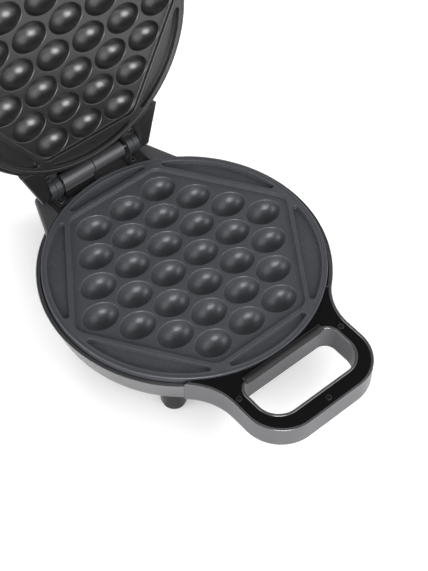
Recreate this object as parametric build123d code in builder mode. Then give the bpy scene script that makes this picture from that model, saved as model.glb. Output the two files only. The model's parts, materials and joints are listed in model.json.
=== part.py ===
"""Bubble waffle maker: two hinged round shells with egg-dimpled cooking plates.

Millimetres. X runs along the hinge, -Y points at the handle, +Z is up.
The origin is on the table, under the centre of the round base.
Lid pieces are drawn as if the lid were a second base, mirrored over the
parting plane and then swung open about the hinge.
"""
import math
import os

from build123d import *

os.makedirs("parts", exist_ok=True)

# Heights
foot_h = 5.0            # underside of the base above the table
plate_top = 43.0        # top of the lower cooking plate's rim
plate_gap = 0.5         # between the two plate rims with the lid shut
lip_drop = 4.0          # housing lip below the plate rim
lid_thinner = 3.0       # the lid shell is this much shallower than the base

# Round shells
base_plate_r = 92.0     # outer radius of the lower plate
lid_step = 4.5          # the lid and its plate are this much smaller in radius
lip_rim = 3.5           # plate edge to the outer edge of the housing's lip
wall = 2.5              # moulded wall
bend_w = 23.0           # width and height of the rounded bottom edge
bend_h = 17.0
fit_gap = 0.5           # plate rim to the shell around it
slip = 0.1              # loose fit of fixed pieces and screws

# Cooking plates
rim_w = 4.0             # raised rim round the plate
hex_wall = 3.0          # raised wall round the tray
tray_side_in = 4.5      # tray corner on the X axis, from the plate's edge
tray_end_in = 7.9       # the other tray corners, from the plate's edge
tray_cx = 36.0          # half length of the tray's edges beside hinge and handle
tray_corner_r = 9.0
tray_depth = 2.5
pocket_depth = 3.2
pocket_tip_r = 2.0
plate_t = 6.5           # rim and pocket slab
boss_depth = 15.0       # thick hexagon that holds the dimples
cell_x = 27.0           # dimple to dimple along a row
cell_y = 20.25          # row to row
dimple_a = 12.2         # half length of a dimple
dimple_b = 10.0         # half width and depth
dimple_end_r = 8.0
dimple_wall = 0.2       # least distance of a dimple from the tray's wall

# Handle loops
handle_w = 94.0
handle_reach = 46.5     # front of the handle beyond the base's lip
handle_bar = 10.5       # side bars of the loop
handle_corner_r = 27.0
handle_flare_r = 38.0   # where the handle runs out into the round shell
handle_drop = 1.5       # handle top below the plate rim
handle_h = 18.5
handle_edge_r = 4.0     # rounded lower edge
loop_gap = 0.5          # hand hole from the base's lip
loop_d = 33.0           # hand hole, front to back
loop_front_r = 15.0
loop_back_r = 8.0
cover_rim = 1.8         # shell edge left bare round the gloss cover
cover_ledge = 2.0
cover_t = 2.4
cover_screw_in = 5.0    # side screws from the handle's side edge
cover_screw_y = 6.0     # and in front of the hand hole's back edge
front_screw_in = 6.5    # front screw from the handle's front edge
post_r = 3.6

# Screws
screw_r = 1.5
screw_head_r = 2.8
screw_head_h = 1.2
screw_sink = 1.4        # depth of the recess round a cover screw
sink_gap = 0.6
screw_l = 10.0

# Hinge
hinge_back = 3.5        # axis behind the base's lip
hinge_z = 51.0
lid_open = 98.5         # degrees from shut to the open stop
tail_front_w = 112.0    # the tail narrows from the shell to its back
tail_front_in = 21.5    # front of the tail from the base's lip
tail_back_w = 87.0
tail_reach = 7.0        # back of the tail behind the hinge axis
tail_corner_r = 4.0
tail_bottom = 16.0
tail_lean = 5.0         # sides of the tail drawn in at the bottom
tail_low_r = 3.0
cheek_drop = 0.4        # cheek tops below the plate rim
cheek_edge_r = 2.0
bay_w = 77.0            # open bay between the cheeks
lid_ledge = 0.5         # lid bracket seat above the axis, the lid shut
lid_ledge_back = 8.2    # back of that seat in front of the axis
bay_r = 8.5             # depth of the lid's bay beyond the axis
pin_r = 2.5
pin_clear = 0.05
pin_head_r = 4.0
pin_head_t = 1.2
knuckle_r = 7.5
knuckle_w = 4.4
knuckle_in = 11.0       # inner face of the base knuckle from the cheek
knuckle_gap = 0.3
bracket_t = 2.0
bracket_w = 8.0
bracket_reach = 5.0     # back edge of the base bracket's foot behind the axis
base_screw_out = 2.5    # base screw beside the knuckle's inner face
base_screw_back = 6.4   # and in front of the axis
lid_screw_in = 4.1      # lid screw from the cheek
lid_screw_back = 10.8
screw_edge = 3.4        # bracket edge from its screw
screw_boss = 6.0
tube_r = 5.4            # wire tubes between the knuckles
tube_bore_r = 3.2
tube_end_gap = 2.5      # end of a wire tube from the knuckle
tube_gap = 0.3          # half of the seam at the middle
tube_web = 8.0
tube_foot = 12.0
lead_r = 2.6
lead_x = 12.5
lead_hole_r = 3.2

# Catch and latch
strip_end = 5.0         # catch strip's end from the side of the hand hole
strip_in = 3.2          # strip behind the hand hole's edge, and over the hole
strip_out = 1.6
strip_rise = 2.0
strip_hang = 1.0        # overhanging edge below the handle top
strip_round = 1.4
latch_w = 26.0
latch_t = 2.4
latch_gap = 0.4         # latched plate from the strip
latch_pivot_out = 2.6   # pivot in front of the plate's back face
latch_pivot_z = 56.0
latch_top = 60.0
latch_bottom = 38.2
latch_hook = 1.4
latch_hook_h = 1.9
latch_barrel_r = 3.0
latch_tab = 5.0
latch_tab_t = 1.8
latch_free = 15.0       # degrees from hooked to released
latch_pin_r = 1.5
latch_ear_r = 3.6
latch_ear_t = 3.0

# Feet and inner posts
foot_x = 55.0           # front feet
foot_y = 56.0
rear_foot_x = 30.0      # rear feet, under the tail
rear_foot_back = 9.0    # and in front of the axis
foot_r = 7.5
foot_collar_r = 8.6
foot_collar_z = 3.5     # housing collar above the table
foot_plug_r = 5.5
foot_plug_h = 3.6
stay_r = 4.5
stay_shoulder_r = 6.5
stay_screw_r = 2.0
stay_head_r = 3.6
stay_head_h = 2.6
stay_bite = 6.0         # screw length in the plate
pan_z = 15.0            # heat pan seat
pan_t = 1.0
pan_r = 74.0
pan_rim = 5.0

# Heating parts
rod_r = 3.25
rod_leg_x = 9.5         # the rod's two legs, then its six-sided round
rod_leg_y = 78.0
rod_back_y = 58.0
rod_x = 58.0
rod_side_y = 30.0
rod_front_y = 64.0
rod_bend_r = 10.0
clamp_w = 22.0
clamp_l = 9.0
clamp_t = 1.6
clamp_screw_in = 3.0    # clamp screw from the clamp's end
clamp_bite = 3.5
thermostat_r = 8.0
thermostat_h = 9.0
thermostat_flange = 28.0
thermostat_ear_w = 7.0
thermostat_ear_t = 1.2
fuse_r = 2.2
fuse_l = 16.0
fuse_y = 33.0

# Mains entry
gland_x = -24.0
gland_z = 28.0
gland_bore_r = 3.2
gland_neck_r = 5.5
gland_flange_r = 7.5
gland_flange_t = 2.0
block_x = 12.0
block_w = 34.0
block_d = 12.0
block_h = 10.0

# Lamps in the lid
lamp_x = 12.0
lamp_y = -54.0
lamp_r = 4.0
lamp_rise = 1.0
lamp_flange_r = 5.5
lamp_flange_t = 1.2
lamp_board_w = 38.0
lamp_board_d = 14.0
lamp_board_t = 3.0

# Places worked out from the sizes above
base_lip_r = base_plate_r + lip_rim
lid_plate_r = base_plate_r - lid_step
lid_lip_r = lid_plate_r + lip_rim
handle_y = base_lip_r + handle_reach
loop_w = handle_w - 2 * handle_bar
loop_y0 = base_lip_r + loop_gap
loop_y1 = loop_y0 + loop_d
side_screw_x = handle_w / 2 - cover_screw_in
side_screw_y = -loop_y0 - cover_screw_y
cover_screws = ((-side_screw_x, side_screw_y), (side_screw_x, side_screw_y), (0, front_screw_in - handle_y))
hinge_y = base_lip_r + hinge_back
tail_front_y = base_lip_r - tail_front_in
knuckle_x0 = bay_w / 2 - knuckle_in
base_screw_x = knuckle_x0 + base_screw_out
base_screw_y = hinge_y - base_screw_back
lid_screw_x = bay_w / 2 - lid_screw_in
lid_screw_y = hinge_y - lid_screw_back
bracket_y1 = hinge_y + bracket_reach
tube_end = knuckle_x0 - tube_end_gap
strip_w = loop_w - 2 * strip_end
strip_back = loop_y0 - strip_in
strip_front = loop_y0 + strip_out
latch_y = strip_front + latch_gap
latch_pivot_y = latch_y + latch_pivot_out
rear_foot_y = hinge_y - rear_foot_back
lip_z = plate_top - lip_drop
handle_z = plate_top - handle_drop
handle_base = handle_z - handle_h
cover_seat = handle_z - cover_t
parting_z = plate_top + plate_gap / 2
cheek_z = plate_top - cheek_drop
tail_back = hinge_y + tail_reach
plate_under = plate_top - boss_depth
shell_bend = 2 * math.atan2(bend_h, bend_w)
lid_axis_z = 2 * parting_z - hinge_z
lid_seat_z = lid_axis_z - lid_ledge
lid_bay_z = lid_axis_z - bay_r
lid_floor = foot_h + lid_thinner
stay_x = 1.5 * cell_x          # posts stand between three dimples
stay_y = 4 / 3 * cell_y
clamp_y = cell_y / 2
foot_places = [(-foot_x, -foot_y), (foot_x, -foot_y)]
foot_places += [(-rear_foot_x, rear_foot_y), (rear_foot_x, rear_foot_y)]
latch_z = 2 * parting_z - latch_pivot_z
hinge_axis = Axis((0, hinge_y, hinge_z), (1, 0, 0))
latch_axis = Axis((0, -latch_pivot_y, latch_pivot_z), (1, 0, 0))
SHUT = Plane.XY.offset(parting_z)


def save(part, name):
    """Label one finished piece and write it out."""
    part.label = name
    export_step(part, f"parts/{name}.step")


def mirrored(part):
    """Turn a piece drawn as part of a base into a piece of the shut lid."""
    return mirror(part, about=SHUT)


def opened(part):
    """Swing a piece of the shut lid to the open stop."""
    return part.rotate(hinge_axis, -lid_open)


def block(x0, x1, y0, y1, z):
    """A rectangle given by its edges, at height z."""
    with BuildSketch(Plane.XY.offset(z)) as plan:
        with Locations(((x0 + x1) / 2, (y0 + y1) / 2)):
            Rectangle(x1 - x0, y1 - y0)
    return plan.sketch


def discs(points, r, z):
    """Circles of one radius at the given places, at height z."""
    with BuildSketch(Plane.XY.offset(z)) as plan:
        with Locations(*points):
            Circle(r)
    return plan.sketch


def corners(x, y):
    """The four places mirrored over X and Y."""
    return [(i * x, j * y) for i in (-1, 1) for j in (-1, 1)]


def bowl_profile(lip_r, floor_z, inset):
    """Half section of a round shell: flat floor, rounded edge, flared side."""
    flare = (lip_z - floor_z - bend_h) / math.tan(shell_bend)
    x0 = lip_r - flare - bend_w
    x1 = lip_r - flare - inset * math.sin(shell_bend)
    z1 = floor_z + bend_h + inset * math.cos(shell_bend)
    x2 = lip_r - inset / math.sin(shell_bend)
    with BuildSketch(Plane.XZ) as profile:
        with BuildLine():
            Line((0, lip_z), (0, floor_z + inset))
            Line((0, floor_z + inset), (x0, floor_z + inset))
            TangentArc((x0, floor_z + inset), (x1, z1), tangent=(1, 0))
            Line((x1, z1), (x2, lip_z))
            Line((x2, lip_z), (0, lip_z))
        make_face()
    return profile.sketch


def handle_outline(lip_r, z, inset):
    """Plan of shell and handle together, pulled in by inset."""
    with BuildSketch(Plane.XY.offset(z)) as outline:
        Circle(lip_r)
        with Locations((0, -handle_y / 2)):
            Rectangle(handle_w, handle_y)
        fillet(outline.vertices().group_by(Axis.Y)[0], handle_corner_r)
        neck = [v for v in outline.vertices()
                if v.Y < 0 and abs(abs(v.X) - handle_w / 2) < 0.01
                and abs(math.hypot(v.X, v.Y) - lip_r) < 0.01]
        fillet(neck, handle_flare_r)
        if inset:
            offset(amount=-inset, kind=Kind.INTERSECTION, mode=Mode.REPLACE)
    return outline.sketch


def loop_outline(z, outset):
    """Plan of the hand hole, grown by outset."""
    with BuildSketch(Plane.XY.offset(z)) as hole:
        with Locations((0, -(loop_y0 + loop_y1) / 2)):
            Rectangle(loop_w + 2 * outset, loop_y1 - loop_y0 + 2 * outset)
        fillet(hole.vertices().group_by(Axis.Y)[0], loop_front_r + outset)
        fillet(hole.vertices().group_by(Axis.Y)[-1], loop_back_r + outset)
    return hole.sketch


def trough_plan(lip_r, z, inset, inner_r):
    """Plan of the handle's inside: its outline less the hand hole and the round shell."""
    with BuildSketch(Plane.XY.offset(z)) as plan:
        add(handle_outline(lip_r, z, inset))
        Circle(inner_r, mode=Mode.SUBTRACT)
        add(block(-2 * lip_r, 2 * lip_r, -tail_front_y, 2 * lip_r, z), mode=Mode.SUBTRACT)
        add(loop_outline(z, inset), mode=Mode.SUBTRACT)
    return plan.sketch.faces().sort_by(SortBy.AREA)[-1]


def tail_outline(z, lean):
    """Plan of the tail that reaches back to the hinge, its sides drawn in by lean."""
    front = tail_front_w / 2 - lean
    back = tail_back_w / 2 - lean
    with BuildSketch(Plane.XY.offset(z)) as tail:
        with BuildLine():
            Polyline(
                (-front, tail_front_y),
                (front, tail_front_y),
                (back, tail_back),
                (-back, tail_back),
                close=True,
            )
        make_face()
        fillet(tail.vertices().group_by(Axis.Y)[-1], tail_corner_r)
    return tail.sketch


def bay_plan(lip_r, y0, z):
    """Plan of the open bay between the cheeks, kept clear of the round shell."""
    with BuildSketch(Plane.XY.offset(z)) as plan:
        add(block(-bay_w / 2, bay_w / 2, y0, tail_back + 1, z))
        Circle(lip_r, mode=Mode.SUBTRACT)
    return plan.sketch.faces().sort_by(Axis.Y)[-1]


def shell(lip_r, plate_r, floor_z, roof_z, feet):
    """Round shell with handle trough, hand hole and tail, drawn as a base."""
    flare_x = (handle_w / 2 + handle_flare_r) / (lip_r + handle_flare_r)
    neck_y = -lip_r * math.sqrt(1 - flare_x ** 2)
    trough_z = handle_base + wall
    room_z = tail_bottom + wall
    with BuildPart() as body:
        extrude(handle_outline(lip_r, handle_base, 0), amount=handle_h)
        low = body.faces().sort_by(Axis.Z)[0].edges()
        fillet(low.filter_by(lambda e: e.center().Y < neck_y), handle_edge_r)
        behind = block(-lip_r - 1, lip_r + 1, neck_y, lip_r + 1, handle_base)
        extrude(behind, amount=handle_h, mode=Mode.SUBTRACT)
        revolve(bowl_profile(lip_r, floor_z, 0), axis=Axis.Z)
        add(tail_block())
        if feet:
            extrude(discs(feet, foot_collar_r, foot_collar_z), amount=floor_z + bend_h / 2)
        # Inside of the round shell, and the well of the plate
        revolve(bowl_profile(lip_r, floor_z, wall), axis=Axis.Z, mode=Mode.SUBTRACT)
        well = discs([(0, 0)], plate_r + fit_gap, lip_z - 2 * wall)
        extrude(well, amount=plate_top, mode=Mode.SUBTRACT)
        # Inside of the handle, the posts of its cover, and the cover's seat
        trough = trough_plan(lip_r, trough_z, cover_rim + cover_ledge, lip_r + wall)
        extrude(trough, amount=handle_h, mode=Mode.SUBTRACT)
        posts = discs(cover_screws, post_r, trough_z - wall / 2)
        extrude(posts, amount=cover_seat - trough_z + wall / 2)
        seat = trough_plan(lip_r, cover_seat, cover_rim, plate_r)
        extrude(seat, amount=2 * cover_t, mode=Mode.SUBTRACT)
        pilots = discs(cover_screws, screw_r + slip, cover_seat - screw_l)
        extrude(pilots, amount=2 * screw_l, mode=Mode.SUBTRACT)
        extrude(loop_outline(handle_base - 1, 0), amount=handle_h + 2, mode=Mode.SUBTRACT)
        # Room in the tail, open to the round shell
        half = bay_w / 2 - wall
        room = block(-half, half, tail_front_y, tail_back - wall, room_z)
        extrude(room, amount=roof_z - room_z, mode=Mode.SUBTRACT)
        # The bay between the cheeks is down at the lip
        bay = block(-bay_w / 2, bay_w / 2, tail_front_y, tail_back + 1, lip_z)
        extrude(bay, amount=plate_top, mode=Mode.SUBTRACT)
        # Posts for the heat pan and the plate
        places = corners(stay_x, stay_y)
        extrude(discs(places, stay_shoulder_r, floor_z), amount=pan_z - floor_z)
        extrude(discs(places, stay_r, floor_z), amount=plate_under - floor_z)
        screw_ways = discs(places, stay_screw_r + slip, floor_z)
        extrude(screw_ways, amount=plate_top, mode=Mode.SUBTRACT)
        sinks = discs(places, stay_head_r + slip, floor_z)
        extrude(sinks, amount=stay_head_h, mode=Mode.SUBTRACT)
    return body.part


def tail_block():
    """Solid tail with leaning sides, its long edges rounded."""
    with BuildPart() as tail:
        loft([tail_outline(tail_bottom, tail_lean), tail_outline(cheek_z, 0)], ruled=True)
        low = tail.faces().sort_by(Axis.Z)[0].edges()
        fillet(low.filter_by(lambda e: e.center().Y > tail_front_y + 1), tail_low_r)
        top = tail.faces().sort_by(Axis.Z)[-1].edges()
        fillet(top.filter_by(lambda e: e.center().Y > tail_front_y + 1), cheek_edge_r)
    return tail.part


def base_shell():
    """The base: feet sockets, bracket bosses, wire way and mains entry."""
    roof_z = lip_z - wall
    feet = foot_places
    bosses = [(-base_screw_x, base_screw_y), (base_screw_x, base_screw_y)]
    with BuildPart() as base:
        add(shell(base_lip_r, base_plate_r, foot_h, roof_z, feet))
        sockets = discs(feet, foot_plug_r + slip, foot_collar_z)
        extrude(sockets, amount=foot_plug_h, mode=Mode.SUBTRACT)
        extrude(discs(bosses, post_r, roof_z - screw_boss), amount=screw_boss)
        pilots = discs(bosses, screw_r + slip, roof_z - screw_boss)
        extrude(pilots, amount=2 * screw_boss, mode=Mode.SUBTRACT)
        wire_way = discs([(-lead_x, hinge_y)], lead_hole_r, roof_z - 1)
        extrude(wire_way, amount=2 * wall, mode=Mode.SUBTRACT)
        entry = gland_disc(gland_neck_r + slip, tail_back - wall - 1)
        extrude(entry, amount=wall + 2, mode=Mode.SUBTRACT)
    return base.part


def lid_shell():
    """The lid as drawn on a base: bracket seats, hinge bay, latch ears, lamp holes."""
    roof_z = lid_bay_z - wall
    seats = [(-lid_screw_x, lid_screw_y), (lid_screw_x, lid_screw_y)]
    lamps = [(-lamp_x, lamp_y), (lamp_x, lamp_y)]
    ear_out = latch_pivot_y - loop_y0 + 1
    with BuildPart() as lid:
        add(shell(lid_lip_r, lid_plate_r, lid_floor, roof_z, []))
        seat = bay_plan(lid_lip_r + slip, tail_front_y, lid_seat_z)
        extrude(seat, amount=plate_top, mode=Mode.SUBTRACT)
        bay = bay_plan(lid_lip_r + slip, hinge_y - lid_ledge_back, lid_bay_z)
        extrude(bay, amount=plate_top, mode=Mode.SUBTRACT)
        # Cheek ends turn about the axis, so they clear the base when the lid swings
        for x0 in (-tail_front_w, bay_w / 2):
            with BuildSketch(Plane.YZ.offset(x0)) as corner:
                with Locations((hinge_y + tail_reach, lid_axis_z + tail_reach)):
                    Rectangle(2 * tail_reach, 2 * tail_reach)
                with Locations((hinge_y, lid_axis_z)):
                    Circle(tail_reach, mode=Mode.SUBTRACT)
            extrude(corner.sketch, amount=tail_front_w - bay_w / 2, mode=Mode.SUBTRACT)
        pilots = discs(seats, screw_r + slip, lid_seat_z - screw_boss)
        extrude(pilots, amount=2 * screw_boss, mode=Mode.SUBTRACT)
        wire_way = discs([(lead_x, hinge_y)], lead_hole_r, roof_z - 1)
        extrude(wire_way, amount=2 * wall, mode=Mode.SUBTRACT)
        extrude(discs(lamps, lamp_r + slip, lid_floor - 1), amount=2 * wall, mode=Mode.SUBTRACT)
        # Ears of the latch on the back wall of the hand hole
        for x0 in (-latch_w / 2 - slip - latch_ear_t, latch_w / 2 + slip):
            with BuildSketch(Plane.YZ.offset(x0)) as ear:
                with Locations((-latch_pivot_y, latch_z)):
                    Circle(latch_ear_r)
                with Locations((-latch_pivot_y + ear_out / 2, latch_z)):
                    Rectangle(ear_out, 2 * latch_ear_r)
                with Locations((-latch_pivot_y, latch_z)):
                    Circle(latch_pin_r + pin_clear, mode=Mode.SUBTRACT)
            extrude(ear.sketch, amount=latch_ear_t)
    return lid.part


def gland_disc(r, y):
    """A circle about the mains entry, facing back, at the given Y."""
    with BuildSketch(Plane(origin=(gland_x, y, gland_z), x_dir=(1, 0, 0), z_dir=(0, 1, 0))) as plan:
        Circle(r)
    return plan.sketch


def tray_corner_y(plate_r):
    """Y of the tray corners beside the hinge and the handle."""
    return math.sqrt((plate_r - tray_end_in) ** 2 - tray_cx ** 2)


def tray_slant(plate_r):
    """Direction of the slanted tray walls' normal, and their distance."""
    side_x = plate_r - tray_side_in
    turn = math.atan2(side_x - tray_cx, tray_corner_y(plate_r))
    return turn, side_x * math.cos(turn)


def tray_plan(plate_r, z):
    """Plan of the six-sided tray of a plate."""
    side_x = plate_r - tray_side_in
    end_y = tray_corner_y(plate_r)
    with BuildSketch(Plane.XY.offset(z)) as tray:
        with BuildLine():
            Polyline(
                (side_x, 0),
                (tray_cx, end_y),
                (-tray_cx, end_y),
                (-side_x, 0),
                (-tray_cx, -end_y),
                (tray_cx, -end_y),
                close=True,
            )
        make_face()
        fillet(tray.vertices(), tray_corner_r)
    return tray.sketch


def pocket_plan(r, edge, turn, z):
    """One crescent pocket: the round segment beyond a tray wall, with rounded tips."""
    half = math.sqrt(r ** 2 - edge ** 2)
    with BuildSketch(Plane.XY.offset(z).rotated((0, 0, turn))) as pocket:
        with BuildLine():
            ThreePointArc((edge, half), (r, 0), (edge, -half))
            Line((edge, -half), (edge, half))
        make_face()
        fillet(pocket.vertices(), pocket_tip_r)
    return pocket.sketch


def dimple_places(plate_r):
    """Centres of the staggered dimples that fit inside the tray."""
    turn, wall_d = tray_slant(plate_r)
    nx, ny = math.cos(turn), math.sin(turn)
    half = math.hypot(dimple_a * nx, dimple_b * ny) + dimple_wall
    reach = math.ceil(plate_r / cell_y)
    places = []
    for row in range(-reach, reach + 1):
        for step in range(-reach, reach + 1):
            x = (step + 0.5 * ((row + 1) % 2)) * cell_x
            y = row * cell_y
            inside = abs(x) * nx + abs(y) * ny + half <= wall_d
            if inside and abs(y) + dimple_b + dimple_wall <= tray_corner_y(plate_r):
                places.append((x, y))
    return places


def dimple_tool(z):
    """One egg-shaped dimple: an oval of three arcs turned about its long axis."""
    end_x = dimple_a - dimple_end_r
    side_r = (end_x ** 2 + dimple_b ** 2 - dimple_end_r ** 2) / (2 * (dimple_b - dimple_end_r))
    reach = dimple_end_r / (side_r - dimple_end_r)
    join_x = end_x * (1 + reach)
    join_y = (side_r - dimple_b) * reach
    with BuildPart() as tool:
        with BuildSketch(Plane.XY.offset(z)) as half:
            with BuildLine():
                RadiusArc((dimple_a, 0), (join_x, join_y), -dimple_end_r)
                ThreePointArc((join_x, join_y), (0, dimple_b), (-join_x, join_y))
                RadiusArc((-join_x, join_y), (-dimple_a, 0), -dimple_end_r)
                Line((-dimple_a, 0), (dimple_a, 0))
            make_face()
        revolve(half.sketch, axis=Axis((0, 0, z), (1, 0, 0)))
    return tool.part


def cooking_plate(plate_r, small_screws):
    """Cast plate: rim, six pockets, walled tray with dimples, thick boss beneath."""
    slab_z = plate_top - plate_t
    tray_z = plate_top - tray_depth
    pocket_z = plate_top - pocket_depth
    turn, wall_d = tray_slant(plate_r)
    slant = math.degrees(turn)
    slant_edge = wall_d + hex_wall
    flat_edge = tray_corner_y(plate_r) + hex_wall
    tool = dimple_tool(tray_z)
    with BuildPart() as plate:
        extrude(discs([(0, 0)], plate_r, slab_z), amount=plate_t)
        extrude(tray_plan(plate_r, plate_under), amount=slab_z - plate_under)
        for turn in (slant, 180 - slant, 180 + slant, -slant):
            extrude(pocket_plan(plate_r - rim_w, slant_edge, turn, pocket_z),
                    amount=pocket_depth, mode=Mode.SUBTRACT)
        for turn in (90, -90):
            extrude(pocket_plan(plate_r - rim_w, flat_edge, turn, pocket_z),
                    amount=pocket_depth, mode=Mode.SUBTRACT)
        extrude(tray_plan(plate_r, tray_z), amount=tray_depth, mode=Mode.SUBTRACT)
        with Locations(*dimple_places(plate_r)):
            add(tool, mode=Mode.SUBTRACT)
        stay_holes = discs(corners(stay_x, stay_y), stay_screw_r + slip, plate_under)
        extrude(stay_holes, amount=stay_bite, mode=Mode.SUBTRACT)
        small_holes = discs(small_screws, screw_r + slip, plate_under)
        extrude(small_holes, amount=clamp_bite, mode=Mode.SUBTRACT)
    return plate.part


def clamp_screw_places():
    """Both screws of both rod clamps."""
    reach = clamp_w / 2 - clamp_screw_in
    return [(i * rod_x + j * reach, clamp_y) for i in (-1, 1) for j in (-1, 1)]


def heating_rod():
    """Heating rod bent round under the tray, its two legs at the back."""
    z = plate_under - rod_r
    with BuildPart() as rod:
        with BuildLine() as path:
            FilletPolyline(
                (rod_leg_x, rod_leg_y, z),
                (rod_leg_x, rod_back_y, z),
                (rod_x, rod_side_y, z),
                (rod_x, -rod_side_y, z),
                (0, -rod_front_y, z),
                (-rod_x, -rod_side_y, z),
                (-rod_x, rod_side_y, z),
                (-rod_leg_x, rod_back_y, z),
                (-rod_leg_x, rod_leg_y, z),
                radius=rod_bend_r,
            )
        with BuildSketch(Plane(path.line @ 0, z_dir=path.line % 0)) as section:
            Circle(rod_r)
        sweep(section.sketch, path=path.line)
    return rod.part


def rod_clamps():
    """Two saddles that press the rod to the plate."""
    low = plate_under - 2 * rod_r - slip - clamp_t
    with BuildPart() as clamps:
        with BuildSketch(Plane.XY.offset(low)) as plan:
            with Locations((-rod_x, clamp_y), (rod_x, clamp_y)):
                Rectangle(clamp_w, clamp_l)
        extrude(amount=plate_under - low)
        with BuildSketch(Plane.XY.offset(low + clamp_t)) as slots:
            with Locations((-rod_x, clamp_y), (rod_x, clamp_y)):
                Rectangle(2 * (rod_r + slip), 2 * clamp_l)
        extrude(amount=plate_top, mode=Mode.SUBTRACT)
        ways = discs(clamp_screw_places(), screw_r + slip, low - 1)
        extrude(ways, amount=plate_top, mode=Mode.SUBTRACT)
    return clamps.part


def screws_up(places, seat_z, tip_z, r, head_r, head_h):
    """Screws driven upwards: heads below seat_z, tips at tip_z."""
    with BuildPart() as screws:
        extrude(discs(places, head_r, seat_z - head_h), amount=head_h)
        extrude(discs(places, r, seat_z - head_h / 2), amount=tip_z - seat_z + head_h / 2)
    return screws.part


def screws_down(places, seat_z, length):
    """Screws driven downwards: heads above seat_z."""
    with BuildPart() as screws:
        extrude(discs(places, screw_head_r, seat_z), amount=screw_head_h)
        extrude(discs(places, screw_r, seat_z - length), amount=length + screw_head_h / 2)
    return screws.part


def clamp_screws():
    """Four small screws that hold the rod clamps."""
    seat_z = plate_under - 2 * rod_r - slip - clamp_t
    tip_z = plate_under + clamp_bite - slip
    return screws_up(clamp_screw_places(), seat_z, tip_z, screw_r, screw_head_r, screw_head_h)


def stay_screws(floor_z):
    """Four long screws from outside, through the posts into the plate."""
    tip_z = plate_under + stay_bite - slip
    seat_z = floor_z + stay_head_h
    places = corners(stay_x, stay_y)
    return screws_up(places, seat_z, tip_z, stay_screw_r, stay_head_r, stay_head_h - slip)


def heat_pan():
    """Thin dish that keeps the heat off the shell, held on the posts' shoulders."""
    with BuildPart() as pan:
        extrude(discs([(0, 0)], pan_r, pan_z), amount=pan_rim)
        extrude(discs([(0, 0)], pan_r - pan_t, pan_z + pan_t), amount=pan_rim, mode=Mode.SUBTRACT)
        ways = discs(corners(stay_x, stay_y), stay_r + slip, pan_z - 1)
        extrude(ways, amount=pan_rim, mode=Mode.SUBTRACT)
    return pan.part


def handle_cover(lip_r, plate_r):
    """Gloss cover set into the handle and drawn up to the plate."""
    with BuildPart() as cover:
        plan = trough_plan(lip_r, cover_seat, cover_rim + slip, plate_r + fit_gap)
        extrude(plan, amount=cover_t)
        sinks = discs(cover_screws, screw_head_r + sink_gap, handle_z - screw_sink)
        extrude(sinks, amount=cover_t, mode=Mode.SUBTRACT)
        extrude(discs(cover_screws, screw_r + slip, cover_seat - 1), amount=2 * cover_t, mode=Mode.SUBTRACT)
    return cover.part


def cover_screw_set():
    """Three screws sunk in the handle cover."""
    return screws_down(cover_screws, handle_z - screw_sink, screw_l)


def knuckle(side, x0, axis_z, r):
    """Plan of a knuckle disc on its own side of the hinge."""
    start = x0 if side > 0 else -x0 - knuckle_w
    with BuildSketch(Plane.YZ.offset(start)) as plan:
        with Locations((hinge_y, axis_z)):
            Circle(r)
    return plan.sketch


def across(side, x0, x1, y0, y1, z):
    """A rectangle between two distances from the middle, on one side."""
    low, high = sorted((side * x0, side * x1))
    return block(low, high, y0, y1, z)


def base_bracket(side):
    """Base bracket: foot on the bay floor, web and knuckle."""
    foot0 = base_screw_x - bracket_w / 2
    foot1 = base_screw_x + bracket_w / 2
    foot_y0 = base_screw_y - screw_edge
    web_y0 = base_screw_y + screw_edge
    with BuildPart() as bracket:
        extrude(across(side, foot0, foot1, foot_y0, bracket_y1, lip_z), amount=bracket_t)
        web = across(side, knuckle_x0, knuckle_x0 + knuckle_w, web_y0, bracket_y1 - bracket_t, lip_z)
        extrude(web, amount=hinge_z - lip_z)
        extrude(knuckle(side, knuckle_x0, hinge_z, knuckle_r), amount=knuckle_w)
        bore = knuckle(side, knuckle_x0, hinge_z, pin_r + pin_clear)
        extrude(bore, amount=knuckle_w, mode=Mode.SUBTRACT)
        way = discs([(side * base_screw_x, base_screw_y)], screw_r + slip, lip_z)
        extrude(way, amount=bracket_t, mode=Mode.SUBTRACT)
    return bracket.part


def lid_bracket(side):
    """Lid bracket as drawn on a base: foot on its seat, knuckle outside the base's."""
    x0 = knuckle_x0 + knuckle_w + knuckle_gap
    x1 = x0 + knuckle_w
    foot_y0 = lid_screw_y - screw_edge
    foot_y1 = hinge_y - knuckle_r - knuckle_gap
    with BuildPart() as bracket:
        extrude(across(side, knuckle_x0, x1, foot_y0, foot_y1, lid_seat_z), amount=bracket_t)
        extrude(discs([(0, 0)], lid_lip_r + fit_gap, lid_seat_z), amount=bracket_t, mode=Mode.SUBTRACT)
        extrude(across(side, x0, x1, foot_y1 - 1, hinge_y, lid_seat_z), amount=bracket_t)
        extrude(knuckle(side, x0, lid_axis_z, knuckle_r), amount=knuckle_w)
        bore = knuckle(side, x0, lid_axis_z, pin_r + pin_clear)
        extrude(bore, amount=knuckle_w, mode=Mode.SUBTRACT)
        way = discs([(side * lid_screw_x, lid_screw_y)], screw_r + slip, lid_seat_z)
        extrude(way, amount=bracket_t, mode=Mode.SUBTRACT)
    return bracket.part


def hinge_pin(side):
    """Headed pin through both knuckles of one side."""
    x0 = knuckle_x0 - pin_head_t
    x1 = knuckle_x0 + 2 * knuckle_w + 2 * knuckle_gap
    start = side * x0
    with BuildPart() as pin:
        with BuildSketch(Plane.YZ.offset(start)) as shank:
            with Locations((hinge_y, hinge_z)):
                Circle(pin_r)
        extrude(amount=side * (x1 - x0))
        with BuildSketch(Plane.YZ.offset(side * x1)) as head:
            with Locations((hinge_y, hinge_z)):
                Circle(pin_head_r)
        extrude(amount=side * pin_head_t)
    return pin.part


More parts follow.
